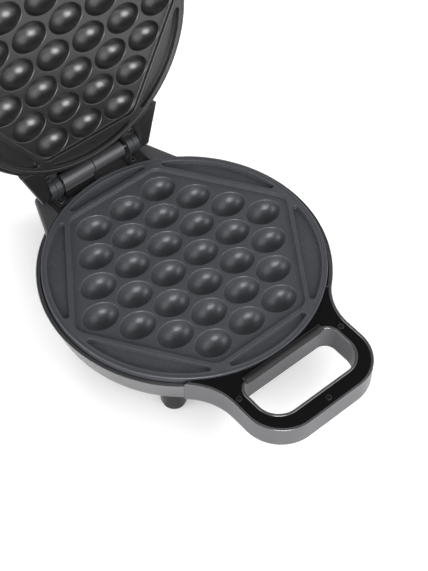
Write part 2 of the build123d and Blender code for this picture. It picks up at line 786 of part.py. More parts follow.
def wire_tube(side, axis_z, floor_z):
    """Half of the wire tube along the axis, on its web and foot."""
    with BuildPart() as tube:
        with BuildSketch(Plane.YZ.offset(side * tube_gap)) as outer:
            with Locations((hinge_y, axis_z)):
                Circle(tube_r)
        extrude(amount=side * (tube_end - tube_gap))
        for width, height in ((tube_web, axis_z - floor_z), (tube_foot, bracket_t)):
            y0, y1 = hinge_y - width / 2, hinge_y + width / 2
            extrude(across(side, 2 * tube_gap, tube_end - 1, y0, y1, floor_z), amount=height)
        with BuildSketch(Plane.YZ.offset(0)) as bore:
            with Locations((hinge_y, axis_z)):
                Circle(tube_bore_r)
        extrude(bore.sketch, amount=side * 2 * tube_end, mode=Mode.SUBTRACT)
        leg_way = discs([(side * lead_x, hinge_y)], lead_hole_r, floor_z - 1)
        extrude(leg_way, amount=axis_z - floor_z + 1, mode=Mode.SUBTRACT)
    return tube.part


def wire_lead(side, axis_z, end_z):
    """Sleeved wires: along the axis from the middle, then into the shell."""
    with BuildPart() as lead:
        with BuildLine() as path:
            FilletPolyline(
                (side * tube_gap, hinge_y, axis_z),
                (side * lead_x, hinge_y, axis_z),
                (side * lead_x, hinge_y, end_z),
                radius=lead_r + wall / 3,
            )
        with BuildSketch(Plane(path.line @ 0, z_dir=path.line % 0)) as section:
            Circle(lead_r)
        sweep(section.sketch, path=path.line)
    return lead.part


def rubber_feet():
    """Four round feet plugged into the base."""
    places = foot_places
    with BuildPart() as feet:
        extrude(discs(places, foot_r, 0), amount=foot_collar_z)
        extrude(discs(places, foot_plug_r, foot_collar_z), amount=foot_plug_h - slip)
    return feet.part


def thermostat():
    """Button thermostat with two ears, flat against the plate."""
    with BuildPart() as button:
        extrude(discs([(0, 0)], thermostat_r, plate_under - thermostat_h), amount=thermostat_h)
        ears = block(-thermostat_ear_w / 2, thermostat_ear_w / 2,
                     -thermostat_flange / 2, thermostat_flange / 2, plate_under - thermostat_ear_t)
        extrude(ears, amount=thermostat_ear_t)
        ways = discs(thermostat_screw_places(), screw_r + slip, plate_under - thermostat_h)
        extrude(ways, amount=thermostat_h, mode=Mode.SUBTRACT)
    return button.part


def thermostat_screw_places():
    """Screws in the middle of the thermostat's ears."""
    y = (thermostat_flange / 2 + thermostat_r) / 2
    return [(0, -y), (0, y)]


def thermal_fuse():
    """Fuse in its sleeve, lying against the plate."""
    with BuildPart() as fuse:
        with BuildSketch(Plane.YZ.offset(-fuse_l / 2)) as section:
            with Locations((fuse_y, plate_under - fuse_r)):
                Circle(fuse_r)
        extrude(amount=fuse_l)
    return fuse.part


def terminal_block():
    """Block that joins the mains wires, on the tail's floor."""
    floor_z = tail_bottom + wall
    y1 = tail_back - 2 * wall
    with BuildPart() as blocks:
        plan = block(block_x - block_w / 2, block_x + block_w / 2, y1 - block_d, y1, floor_z)
        extrude(plan, amount=block_h)
    return blocks.part


def cord_gland():
    """Bush that the cord passes through, its flange outside the tail."""
    with BuildPart() as gland:
        inner_y = tail_back - wall - gland_flange_t
        extrude(gland_disc(gland_neck_r, inner_y), amount=tail_back - inner_y)
        extrude(gland_disc(gland_flange_r, tail_back), amount=gland_flange_t)
        extrude(gland_disc(gland_bore_r, inner_y - 1), amount=3 * wall + 2, mode=Mode.SUBTRACT)
    return gland.part


def gland_nut():
    """Nut on the gland, inside the tail."""
    with BuildPart() as nut:
        y = tail_back - wall - gland_flange_t
        extrude(gland_disc(gland_flange_r, y), amount=gland_flange_t)
        extrude(gland_disc(gland_neck_r + slip, y), amount=gland_flange_t, mode=Mode.SUBTRACT)
    return nut.part


def catch_strip():
    """Rounded strip along the hand hole, with a lip that the latch hooks under."""
    lip_half = loop_w / 2 - loop_back_r
    with BuildPart() as strip:
        with BuildSketch(Plane.YZ.offset(-strip_w / 2)) as section:
            with Locations((-(strip_back + strip_front) / 2, handle_z + strip_rise / 2)):
                Rectangle(strip_front - strip_back, strip_rise)
            fillet(section.vertices().group_by(Axis.Y)[-1], strip_round)
        extrude(amount=strip_w)
        lip = block(-lip_half, lip_half, -strip_front, -loop_y0 - slip, handle_z - strip_hang)
        extrude(lip, amount=strip_hang + strip_rise / 3)
    return strip.part


def latch():
    """Latch in its hooked place: plate, hook, pivot barrel and thumb tab."""
    with BuildPart() as plate:
        with BuildSketch(Plane.YZ.offset(-latch_w / 2)) as section:
            with Locations((-latch_y - latch_t / 2, (latch_top + latch_bottom) / 2)):
                Rectangle(latch_t, latch_top - latch_bottom)
            with Locations((-latch_y + latch_hook / 2, latch_bottom + latch_hook_h / 2)):
                Rectangle(latch_hook, latch_hook_h)
            with Locations((-latch_y - latch_t - latch_tab / 2, latch_top - latch_tab_t / 2)):
                Rectangle(latch_tab, latch_tab_t)
            with Locations((-latch_pivot_y, latch_pivot_z)):
                Circle(latch_barrel_r)
            with Locations((-latch_pivot_y, latch_pivot_z)):
                Circle(latch_pin_r + pin_clear, mode=Mode.SUBTRACT)
        extrude(amount=latch_w)
    return plate.part


def latch_pin():
    """Pin of the latch, across both ears, as drawn on a base."""
    reach = latch_w / 2 + slip + latch_ear_t
    with BuildPart() as pin:
        with BuildSketch(Plane.YZ.offset(-reach)) as section:
            with Locations((-latch_pivot_y, latch_z)):
                Circle(latch_pin_r)
        extrude(amount=2 * reach)
    return pin.part


def lamp_lenses():
    """Two round lenses through the lid's top, flanged inside."""
    places = [(-lamp_x, lamp_y), (lamp_x, lamp_y)]
    with BuildPart() as lenses:
        extrude(discs(places, lamp_r, lid_floor - lamp_rise), amount=lamp_rise + wall)
        extrude(discs(places, lamp_flange_r, lid_floor + wall), amount=lamp_flange_t)
    return lenses.part


def lamp_board():
    """Board behind the lenses."""
    z = lid_floor + wall + lamp_flange_t
    with BuildPart() as board:
        half_w, half_d = lamp_board_w / 2, lamp_board_d / 2
        extrude(block(-half_w, half_w, lamp_y - half_d, lamp_y + half_d, z), amount=lamp_board_t)
    return board.part


# Base
save(base_shell(), "base_housing")
save(cooking_plate(base_plate_r, clamp_screw_places() + thermostat_screw_places()), "base_plate")
save(heating_rod(), "base_heating_rod")
save(rod_clamps(), "base_rod_clamps")
save(clamp_screws(), "base_clamp_screws")
save(heat_pan(), "base_heat_pan")
save(stay_screws(foot_h), "base_plate_screws")
save(handle_cover(base_lip_r, base_plate_r), "base_handle_cover")
save(cover_screw_set(), "base_cover_screws")
save(catch_strip(), "catch_strip")
save(thermostat(), "thermostat")
save(screws_up(thermostat_screw_places(), plate_under - thermostat_ear_t, plate_under + clamp_bite - slip,
               screw_r, screw_head_r, screw_head_h), "thermostat_screws")
save(thermal_fuse(), "thermal_fuse")
save(terminal_block(), "terminal_block")
save(cord_gland(), "cord_gland")
save(gland_nut(), "gland_nut")
save(rubber_feet(), "rubber_feet")
save(wire_tube(-1, hinge_z, lip_z), "base_wire_tube")
save(wire_lead(-1, hinge_z, lip_z - 2 * wall), "base_wire_lead")
for side, word in ((-1, "left"), (1, "right")):
    save(base_bracket(side), f"base_bracket_{word}")
    save(hinge_pin(side), f"hinge_pin_{word}")
base_screw_places = [(-base_screw_x, base_screw_y), (base_screw_x, base_screw_y)]
save(screws_down(base_screw_places, lip_z + bracket_t, screw_boss + bracket_t), "base_bracket_screws")

# Lid, mirrored over the parting plane and opened
save(opened(mirrored(lid_shell())), "lid_housing")
save(opened(mirrored(cooking_plate(lid_plate_r, clamp_screw_places()))), "lid_plate")
save(opened(mirrored(heating_rod())), "lid_heating_rod")
save(opened(mirrored(rod_clamps())), "lid_rod_clamps")
save(opened(mirrored(clamp_screws())), "lid_clamp_screws")
save(opened(mirrored(heat_pan())), "lid_heat_pan")
save(opened(mirrored(stay_screws(lid_floor))), "lid_plate_screws")
save(opened(mirrored(handle_cover(lid_lip_r, lid_plate_r))), "lid_handle_cover")
save(opened(mirrored(cover_screw_set())), "lid_cover_screws")
save(opened(mirrored(wire_tube(1, lid_axis_z, lid_bay_z))), "lid_wire_tube")
save(opened(mirrored(wire_lead(1, lid_axis_z, lid_bay_z - 2 * wall))), "lid_wire_lead")
for side, word in ((-1, "left"), (1, "right")):
    save(opened(mirrored(lid_bracket(side))), f"lid_bracket_{word}")
lid_screw_places = [(-lid_screw_x, lid_screw_y), (lid_screw_x, lid_screw_y)]
lid_screws = screws_down(lid_screw_places, lid_seat_z + bracket_t, screw_boss)
save(opened(mirrored(lid_screws)), "lid_bracket_screws")
save(opened(mirrored(lamp_lenses())), "lamp_lenses")
save(opened(mirrored(lamp_board())), "lamp_board")
save(opened(mirrored(latch_pin())), "latch_pin")
save(opened(latch().rotate(latch_axis, -latch_free)), "latch")
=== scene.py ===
"""Bubble waffle maker: finishes, detailed meshes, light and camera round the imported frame."""
import json
import math

import bmesh
import bpy
from mathutils import Matrix, Vector


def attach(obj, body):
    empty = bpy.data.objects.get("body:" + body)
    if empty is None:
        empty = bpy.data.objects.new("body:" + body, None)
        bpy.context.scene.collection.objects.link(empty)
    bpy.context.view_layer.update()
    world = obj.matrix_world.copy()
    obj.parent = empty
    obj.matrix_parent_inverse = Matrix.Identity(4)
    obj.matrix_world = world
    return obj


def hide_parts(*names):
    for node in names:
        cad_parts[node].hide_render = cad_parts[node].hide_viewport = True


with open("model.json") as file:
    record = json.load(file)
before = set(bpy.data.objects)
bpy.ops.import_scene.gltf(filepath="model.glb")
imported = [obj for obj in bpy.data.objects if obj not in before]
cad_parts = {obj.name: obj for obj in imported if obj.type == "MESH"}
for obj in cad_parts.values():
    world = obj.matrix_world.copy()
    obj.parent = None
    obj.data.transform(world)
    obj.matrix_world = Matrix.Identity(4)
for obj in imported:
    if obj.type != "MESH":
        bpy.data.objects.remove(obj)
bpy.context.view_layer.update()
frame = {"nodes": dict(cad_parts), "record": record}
MM = 0.001

# Sizes of the frame, in millimetres
PLATE_TOP = 43.0
PARTING_Z = 43.25
HINGE_Y = 99.0
HINGE_Z = 51.0
LID_OPEN = 98.5
BASE_PLATE_R = 92.0
LID_PLATE_R = 87.5
LIP_RIM = 3.5
LIP_Z = 39.0
HANDLE_Z = 41.5
COVER_SEAT = 39.1
COVER_SCREWS = ((-41.75, -102.0), (41.75, -102.0), (0.0, -135.5))
BASE_BRACKET_Z = 41.0
BASE_BRACKET_SCREWS = ((-30.0, 92.6), (30.0, 92.6))
LID_BRACKET_Z = 37.0
LID_BRACKET_SCREWS = ((-34.4, 88.2), (34.4, 88.2))

# Turns a piece drawn as part of a base into a piece of the open lid
to_axis = Matrix.Translation((0, HINGE_Y, HINGE_Z))
mirror_z = Matrix.Translation((0, 0, 2 * PARTING_Z)) @ Matrix.Diagonal((1, 1, -1, 1))
swing = to_axis @ Matrix.Rotation(math.radians(-LID_OPEN), 4, "X") @ to_axis.inverted()
LID = swing @ mirror_z
BASE = Matrix.Identity(4)


def linear(value):
    """One channel of a screen colour as the shader's number."""
    return value / 12.92 if value <= 0.04045 else ((value + 0.055) / 1.055) ** 2.4


def colour(r, g, b):
    """A screen colour given from 0 to 255."""
    return (linear(r / 255), linear(g / 255), linear(b / 255), 1.0)


def grey(value):
    """A shader colour of equal channels."""
    return (value, value, value, 1.0)


# Materials

# Sockets of the Mix node that blend colours
MIX_FACTOR, MIX_A, MIX_B, MIX_RESULT = 0, 6, 7, 2

# Where noise turns from its dark to its light end
NOISE_LOW, NOISE_HIGH = 0.3, 0.7

# Where a surface starts and ends to count as facing a direction, as a cosine
FACING_FROM, FACING_TO = 0.45, 0.75

# Widths over which masks fade, in metres
NEAR_FADE = 0.0003
BELOW_FADE = 0.0004

BEVEL_SAMPLES = 6
CLOUD_SCALE, CLOUD_DETAIL = 38.0, 4.0
GRAIN_DETAIL = 2.0
FLECK_DETAIL = 1.0
FLECK_FADE = 0.06
GRAIN_BUMP = 0.35
ROUGH_LOW, ROUGH_HIGH = 0.88, 1.12


class Nodes:
    """A node tree with short calls to fill it."""

    def __init__(self, tree):
        self.tree = tree
        self.where = self.add("ShaderNodeTexCoord")
        self.place, self.normal = self.where.outputs["Object"], self.where.outputs["Normal"]

    def add(self, kind, inputs=None, **settings):
        """A new node with constant inputs and settings."""
        node = self.tree.nodes.new(kind)
        for key, value in settings.items():
            setattr(node, key, value)
        for key, value in (inputs or {}).items():
            node.inputs[key].default_value = value
        return node

    def link(self, source, target):
        self.tree.links.new(source, target)

    def joined(self, kind, sources, **settings):
        """A new node with links to its inputs, numbered or named; gives its first output."""
        node = self.add(kind, **settings)
        for key, source in sources.items():
            self.link(source, node.inputs[key])
        return node.outputs[0]

    def axes(self, source):
        """The X, Y and Z outputs of a split vector."""
        node = self.add("ShaderNodeSeparateXYZ")
        self.link(source, node.inputs[0])
        return node.outputs

    def noise(self, scale, detail, stretch=None):
        place = self.place
        if stretch:
            mapping = self.add("ShaderNodeMapping", {"Scale": stretch})
            self.link(place, mapping.inputs["Vector"])
            place = mapping.outputs["Vector"]
        node = self.add("ShaderNodeTexNoise", {"Scale": scale, "Detail": detail})
        self.link(place, node.inputs["Vector"])
        return node.outputs["Fac"]

    def ramp(self, source, low, high, start=NOISE_LOW, end=NOISE_HIGH):
        """A colour that turns from low to high between two values of the source."""
        node = self.add("ShaderNodeValToRGB")
        for element, position, value in zip(node.color_ramp.elements, (start, end), (low, high)):
            element.position = position
            element.color = value
        self.link(source, node.inputs["Fac"])
        return node.outputs["Color"]

    def spread(self, source, low, high, start=NOISE_LOW, end=NOISE_HIGH):
        """A number that turns from low to high between two values of the source."""
        node = self.add("ShaderNodeMapRange", {"From Min": start, "From Max": end,
                                               "To Min": low, "To Max": high})
        self.link(source, node.inputs["Value"])
        return node.outputs["Result"]

    def blend(self, mask, shade, patch):
        """The shade, with a constant colour where the mask is one."""
        node = self.add("ShaderNodeMix", {MIX_B: patch}, data_type="RGBA")
        self.link(mask, node.inputs[MIX_FACTOR])
        self.link(shade, node.inputs[MIX_A])
        return node.outputs[MIX_RESULT]

    def facing(self, direction):
        """One where the surface faces along direction, zero where it faces away or sideways."""
        node = self.add("ShaderNodeVectorMath", {1: direction}, operation="DOT_PRODUCT")
        self.link(self.normal, node.inputs[0])
        return self.spread(node.outputs["Value"], 0.0, 1.0, FACING_FROM, FACING_TO)

    def near(self, places, reach, top):
        """One under top and within reach of two upright lines and their mirror images."""
        x, y, z = self.axes(self.place)
        side = self.joined("ShaderNodeMath", {0: x}, operation="ABSOLUTE")
        plan = self.joined("ShaderNodeCombineXYZ", {"X": side, "Y": y})
        ways = {}
        for number, place in enumerate(places):
            away = self.add("ShaderNodeVectorMath", {1: place}, operation="DISTANCE")
            self.link(plan, away.inputs[0])
            ways[number] = away.outputs["Value"]
        nearest = self.joined("ShaderNodeMath", ways, operation="MINIMUM")
        over = self.add("ShaderNodeMath", {1: reach - top}, operation="ADD")
        self.link(z, over.inputs[0])
        worst = self.joined("ShaderNodeMath", {0: nearest, 1: over.outputs[0]},
                            operation="MAXIMUM")
        return self.spread(worst, 1.0, 0.0, reach, reach + NEAR_FADE)

    def below(self, height):
        """One under a height of the object as packed, zero over it."""
        return self.spread(self.axes(self.place)["Z"], 1.0, 0.0,
                           height - BELOW_FADE, height + BELOW_FADE)

    def bump(self, source, strength, distance, normal=None):
        node = self.add("ShaderNodeBump", {"Strength": strength, "Distance": distance})
        self.link(source, node.inputs["Height"])
        if normal:
            self.link(normal, node.inputs["Normal"])
        return node.outputs["Normal"]

    def bevel(self, radius):
        node = self.add("ShaderNodeBevel", {"Radius": radius}, samples=BEVEL_SAMPLES)
        return node.outputs["Normal"]


def new_material(name):
    """A material, the calls to fill its tree, and its shader."""
    made = bpy.data.materials.new(name)
    made.use_nodes = True
    return made, Nodes(made.node_tree), made.node_tree.nodes["Principled BSDF"]


def scaled(tint, factor):
    """A colour made lighter or darker."""
    return (*[min(1.0, c * factor) for c in tint[:3]], 1.0)


def finish(name, tint, rough, grain, depth, vary=0.12, metallic=0.0, specular=0.5,
           edge=0.0004, fleck=None, stretch=None, patch=None):
    """A moulded, cast or coated surface: tint clouds, grain in the gloss and in the surface.

    A fleck is (amount, size, colour), a patch of painted shade (mask, what the mask takes,
    colour).
    """
    made, n, shader = new_material(name)
    shade = n.ramp(n.noise(CLOUD_SCALE, CLOUD_DETAIL),
                   scaled(tint, 1 - vary), scaled(tint, 1 + vary))
    if fleck:
        amount, size, bright = fleck
        mask = n.ramp(n.noise(size, FLECK_DETAIL), grey(0.0), grey(1.0),
                      1 - amount, 1 - amount + FLECK_FADE)
        shade = n.blend(mask, shade, bright)
    # A patch paints shade: its darker colour where its mask is one
    if patch:
        mask, where, painted_shade_tint = patch
        shade = n.blend(mask(n, *where), shade, painted_shade_tint)
    n.link(shade, shader.inputs["Base Color"])
    fine = n.noise(grain, GRAIN_DETAIL, stretch)
    n.link(n.spread(fine, rough * ROUGH_LOW, rough * ROUGH_HIGH), shader.inputs["Roughness"])
    shader.inputs["Metallic"].default_value = metallic
    shader.inputs["Specular IOR Level"].default_value = specular
    rounded = n.bevel(edge) if edge else None
    n.link(n.bump(fine, GRAIN_BUMP, depth, rounded), shader.inputs["Normal"])
    return made


LENS_GRAIN = 900.0
LENS_BUMP, LENS_BUMP_DEPTH = 0.2, 0.00003
LENS_ROUGH = (0.08, 0.16)
LENS_DARK = 0.85
LENS_CLEAR = 0.15
LENS_COAT = 0.6


def tinted_lens(name, tint):
    """Clear tinted plastic of a lamp lens."""
    made, n, shader = new_material(name)
    veil = n.noise(LENS_GRAIN, GRAIN_DETAIL)
    n.link(n.ramp(veil, scaled(tint, LENS_DARK), tint), shader.inputs["Base Color"])
    n.link(n.spread(veil, *LENS_ROUGH), shader.inputs["Roughness"])
    shader.inputs["Transmission Weight"].default_value = LENS_CLEAR
    shader.inputs["Coat Weight"].default_value = LENS_COAT
    n.link(n.bump(veil, LENS_BUMP, LENS_BUMP_DEPTH), shader.inputs["Normal"])
    return made


# Where painted shade darkens the shells and the tubes, in metres
LID_INWARD = (0.0, -0.989, 0.1478)
FOOT_PLACES = ((0.055, -0.056, 0.0), (0.03, 0.09, 0.0))
FOOT_COLUMN_R = 0.0092
FOOT_COLUMN_TOP = 0.0162
TUBE_SLAB_TOP = 0.0445

SATIN_GREY = colour(100, 100, 102)
# Painted shade under the body, also standing for the dark rubber feet: the shell's foot columns
# darkened
FOOT_COLUMNS_PAINTED_SHADE = (Nodes.near, (FOOT_PLACES, FOOT_COLUMN_R, FOOT_COLUMN_TOP), colour(40, 40, 41))
# Painted shade: the lid shell's faces turned to its inside, darkened where they sit in shadow
LID_INSIDE_PAINTED_SHADE = (Nodes.facing, (LID_INWARD,), colour(46, 46, 47))
# Painted shade: the slab under the hinge tubes, darkened below its top where it sits in shadow
TUBE_SLAB_PAINTED_SHADE = (Nodes.below, (TUBE_SLAB_TOP,), colour(30, 30, 31))

material = {
    "housing": finish("satin_grey_housing_painted_shade_feet", SATIN_GREY, 0.32, 2600.0, 0.00002,
                      vary=0.05, metallic=0.7, edge=0.0006, patch=FOOT_COLUMNS_PAINTED_SHADE),
    # The lid shell carries painted shade on its inside faces
    "lid_housing": finish("satin_grey_lid_painted_shade", SATIN_GREY, 0.32, 2600.0, 0.00002,
                          vary=0.05, metallic=0.7, edge=0.0006, patch=LID_INSIDE_PAINTED_SHADE),
    # The beads' grey is the shells' grey made lighter and glossier: a painted highlight on real
    # rounded edges
    "painted_highlight_edge": finish("satin_grey_painted_highlight_edge", colour(118, 118, 120), 0.2, 2600.0, 0.00001,
                   vary=0.05, metallic=0.8, edge=0.0),
    "cover": finish("gloss_black_cover", colour(16, 16, 17), 0.12, 1500.0, 0.000004,
                    vary=0.06, specular=0.12, edge=0.0),
    "plate": finish("nonstick_plate", colour(66, 67, 71), 0.35, 2100.0, 0.00003,
                    vary=0.05, metallic=0.15, edge=0.0,
                    fleck=(0.36, 2000.0, colour(97, 98, 104))),
    # The lid plate has the base plate's coating, made much darker: painted shade on the upright
    # open lid
    "lid_plate": finish("nonstick_lid_plate_painted_shade", colour(20, 20, 21), 0.33, 1100.0, 0.00003,
                        vary=0.05, specular=0.8, edge=0.0,
                        fleck=(0.34, 2000.0, colour(38, 38, 40))),
    "strip": finish("catch_strip_black", colour(24, 24, 25), 0.26, 2400.0, 0.00001,
                    vary=0.06, specular=0.3, edge=0.0),
    "hinge": finish("hinge_dark", colour(48, 49, 50), 0.3, 1800.0, 0.00003,
                    vary=0.1, metallic=0.3, edge=0.0005),
    # The tubes carry painted shade on the slab beneath them
    "tube": finish("tube_grey", colour(82, 82, 84), 0.3, 2400.0, 0.00002,
                   vary=0.06, metallic=0.5, stretch=(0.15, 1.0, 1.0), patch=TUBE_SLAB_PAINTED_SHADE),
    "screw": finish("screw_black", colour(54, 54, 56), 0.24, 3200.0, 0.00002,
                    vary=0.15, metallic=0.6, edge=0.0),
    "pin": finish("pin_steel", colour(128, 130, 134), 0.3, 2500.0, 0.00002,
                  vary=0.08, metallic=1.0, edge=0.0003),
    "rod": finish("rod_steel", colour(96, 92, 86), 0.42, 1200.0, 0.00004,
                  vary=0.2, metallic=1.0, edge=0.0),
    "pan": finish("pan_steel", colour(170, 171, 173), 0.33, 900.0, 0.00003,
                  vary=0.06, metallic=1.0, edge=0.0003, stretch=(1.0, 0.05, 1.0)),
    "rubber": finish("foot_rubber", colour(30, 30, 31), 0.72, 1800.0, 0.00006,
                     specular=0.3, edge=0.0005),
    "sleeve": finish("wire_sleeve", colour(34, 34, 35), 0.6, 3800.0, 0.00008,
                     vary=0.2, specular=0.3, edge=0.0, stretch=(1.0, 0.35, 1.0)),
    "black": finish("part_black", colour(30, 30, 32), 0.42, 2000.0, 0.00003,
                    vary=0.1, edge=0.0003),
    "white": finish("block_white", colour(222, 220, 212), 0.4, 1500.0, 0.00003,
                    vary=0.04, edge=0.0003),
    "board": finish("board_green", colour(38, 92, 58), 0.38, 1400.0, 0.00002, edge=0.0002),
    "lens": tinted_lens("lens_red", colour(132, 8, 6)),
}

FINISH_OF_SLOT = {
    "housing_grey": "housing", "cover_black": "cover", "plate_coating": "plate",
    "hinge_dark": "hinge", "tube_grey": "tube", "screw_black": "screw",
    "pin_steel": "pin", "rod_steel": "rod", "pan_steel": "pan", "foot_rubber": "rubber",
    "wire_sleeve": "sleeve", "part_black": "black", "block_white": "white",
    "lens_red": "lens", "board_green": "board",
}

# Nodes whose finish differs from their slot's
FINISH_OF_NODE = {"lid_housing": "lid_housing", "base_plate_screws": "screw",
                  "lid_plate_screws": "screw"}

# Angles over which an edge is sharp: of the frame's nodes, and of the pieces made here
NODE_SHARP = 28
PIECE_SHARP = 50
PLATE_SHARP = 60
SCREW_SHARP = 35
STRIP_SHARP = 32

slot_of_node = {entry["node"]: entry["material_slot"] for entry in frame["record"]["subparts"]}

for node_name, node in frame["nodes"].items():
    finish_name = FINISH_OF_NODE.get(node_name, FINISH_OF_SLOT[slot_of_node[node_name]])
    node.data.materials.clear()
    node.data.materials.append(material[finish_name])
    node.data.shade_smooth()
    node.data.set_sharp_from_angle(angle=math.radians(NODE_SHARP))


# Mesh helpers. All shapes are drawn in millimetres, as part of a base.

EDGE_STEPS = 4
BEAD_STEPS = 8
BEAD_SINK = 0.02


def arc(cx, cy, r, start, end, steps):
    """Points and outward normals along an arc, angles in degrees."""
    found = []
    for i in range(steps + 1):
        t = math.radians(start + (end - start) * i / steps)
        found.append(((cx + r * math.cos(t), cy + r * math.sin(t)), (math.cos(t), math.sin(t))))
    return found


def circle(r, steps, cx=0.0, cy=0.0):
    """A closed circle, turning left."""
    return arc(cx, cy, r, 0, 360, steps)[:-1]


def grown(outline, d):
    """The outline's points moved out by d."""
    return [(x + nx * d, y + ny * d) for (x, y), (nx, ny) in outline]


def signed_area(loop):
    """Area inside a closed row of points, above zero where it turns left."""
    return sum(a[0] * b[1] - b[0] * a[1] for a, b in zip(loop, loop[1:] + loop[:1])) / 2


def rounded_polygon(corners, r, steps):
    """A left-turning convex polygon with rounded corners, as points with normals."""
    found = []
    count = len(corners)
    for i in range(count):
        p = Vector(corners[i])
        a = (Vector(corners[i - 1]) - p).normalized()
        b = (Vector(corners[(i + 1) % count]) - p).normalized()
        half = math.acos(max(-1, min(1, a.dot(b)))) / 2
        centre = p + (a + b).normalized() * (r / math.sin(half))
        start = math.degrees(math.atan2(a.x, -a.y))
        sweep = 180 - 2 * math.degrees(half)
        found += arc(centre.x, centre.y, r, start, start + sweep, steps)
    return found


def rounding(r, steps):
    """How far in and how far down a rounded upper edge is, from its foot to its top."""
    return [(r * (1 - math.cos(math.radians(90 * i / steps))),
             r * (1 - math.sin(math.radians(90 * i / steps)))) for i in range(steps + 1)]


class Shape:
    """A mesh in the making, in millimetres."""

    def __init__(self):
        self.bm = bmesh.new()

    def ring(self, points, z):
        """A closed row of vertices; z is a number or one number for each point."""
        heights = z if isinstance(z, list) else [z] * len(points)
        return [self.bm.verts.new((x, y, h)) for (x, y), h in zip(points, heights)]

    def band(self, a, b, closed=True):
        """Quads between two rows of one length, a outside or below, b inside or above."""
        count = len(a)
        for i in range(count if closed else count - 1):
            j = (i + 1) % count
            self.bm.faces.new((a[i], a[j], b[j], b[i]))

    def plane(self, rings, up=True):
        """A flat face with holes, bounded by rings."""
        edges = []
        for ring in rings:
            for i, v in enumerate(ring):
                w = ring[(i + 1) % len(ring)]
                edges.append(self.bm.edges.get((v, w)) or self.bm.edges.new((v, w)))
        made = bmesh.ops.triangle_fill(self.bm, use_beauty=True, use_dissolve=False, edges=edges)
        for face in made["geom"]:
            if isinstance(face, bmesh.types.BMFace):
                face.normal_update()
                if (face.normal.z > 0) != up:
                    face.normal_flip()

    def half_round(self, line, closed, at, half, z, height):
        """A half-round moulding along points with normals, its middle moved out by at."""
        rows = []
        for i in range(BEAD_STEPS + 1):
            t = math.pi * i / BEAD_STEPS
            row = grown(line, at + half * math.cos(t))
            rows.append(self.ring(row, z - BEAD_SINK + height * math.sin(t)))
        for a, b in zip(rows, rows[1:]):
            self.band(a, b, closed)
        self.band(rows[-1], rows[0], closed)
        if not closed:
            self.bm.faces.new([row[0] for row in rows])
            self.bm.faces.new([row[-1] for row in rows][::-1])

    def piece(self, name, finish_name, body, nodes, place=BASE, sharp=PIECE_SHARP):
        """The finished object: placed, smoothed, riding on its body, standing for its nodes."""
        bmesh.ops.recalc_face_normals(self.bm, faces=self.bm.faces)
        self.bm.transform(Matrix.Scale(MM, 4) @ place)
        if place.determinant() < 0:
            bmesh.ops.reverse_faces(self.bm, faces=self.bm.faces)
        mesh = bpy.data.meshes.new(name)
        self.bm.to_mesh(mesh)
        self.bm.free()
        mesh.shade_smooth()
        mesh.set_sharp_from_angle(angle=math.radians(sharp))
        mesh.materials.append(material[finish_name])
        obj = bpy.data.objects.new(name, mesh)
        bpy.context.scene.collection.objects.link(obj)
        weigh = obj.modifiers.new("flat_faces_stay_flat", "WEIGHTED_NORMAL")
        weigh.keep_sharp = True
        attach(obj, body)
        if nodes:
            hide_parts(*nodes)


# Cooking plates. Each ROUND is the radius of a recess's upper and of its lower edge.

RIM_STEPS = 240
EDGE_R = 0.7
SLAB_T = 6.5
BOSS_DEPTH = 15.0
BOSS_DRAFT = 0.4

# The fine groove round the rim: how far in from the edge, how far down
GROOVE = ((1.9, 0.0), (2.12, 0.3), (2.38, 0.3), (2.6, 0.0))

TRAY_SIDE_IN = 4.5
TRAY_END_IN = 7.9
TRAY_CX = 36.0
TRAY_CORNER_R = 9.0
TRAY_CORNER_STEPS = 12
TRAY_DEPTH = 2.5
TRAY_ROUND = (0.35, 0.4)

POCKET_DEPTH = 3.2
POCKET_ROUND = (0.25, 0.2)
POCKET_ARC_STEPS = 40
POCKET_LINE_STEPS = 24
RIM_W = 4.0
HEX_WALL = 3.0
TIP_R = 2.0
TIP_STEPS = 8
WALL_DRAFT = 0.15

CELL_X = 27.0
CELL_Y = 20.25
DIMPLE_A = 12.2
DIMPLE_B = 10.0
DIMPLE_END_R = 8.0

# The oval's wide sides are arcs of one larger circle, which meet its ends' arcs at DIMPLE_JOIN_X
DIMPLE_END_X = DIMPLE_A - DIMPLE_END_R
DIMPLE_SIDE_R = ((DIMPLE_END_X ** 2 + DIMPLE_B ** 2 - DIMPLE_END_R ** 2)
                 / (2 * (DIMPLE_B - DIMPLE_END_R)))
DIMPLE_JOIN_X = DIMPLE_END_X * (1 + DIMPLE_END_R / (DIMPLE_SIDE_R - DIMPLE_END_R))
DIMPLE_STEPS = 56
DIMPLE_RINGS = 12

# Rows of dimples, counted from the middle, and how many each holds
DIMPLE_ROWS = ((-3, 3), (-2, 4), (-1, 5), (0, 6), (1, 5), (2, 4), (3, 3))


def sunk(shape, outline, floor_z, flat_rings, round_top, round_low):
    """Walls of a plate's recess with rounded upper and lower edges; gives the floor's ring."""
    last = None
    for inward, down in reversed(rounding(round_top, EDGE_STEPS)):
        ring = shape.ring(grown(outline, inward), PLATE_TOP - down)
        if last:
            shape.band(last, ring)
        else:
            flat_rings.append(ring)
        last = ring
    for inward, up in rounding(round_low, EDGE_STEPS):
        ring = shape.ring(grown(outline, -inward - WALL_DRAFT), floor_z + up)
        shape.band(last, ring)
        last = ring
    return last


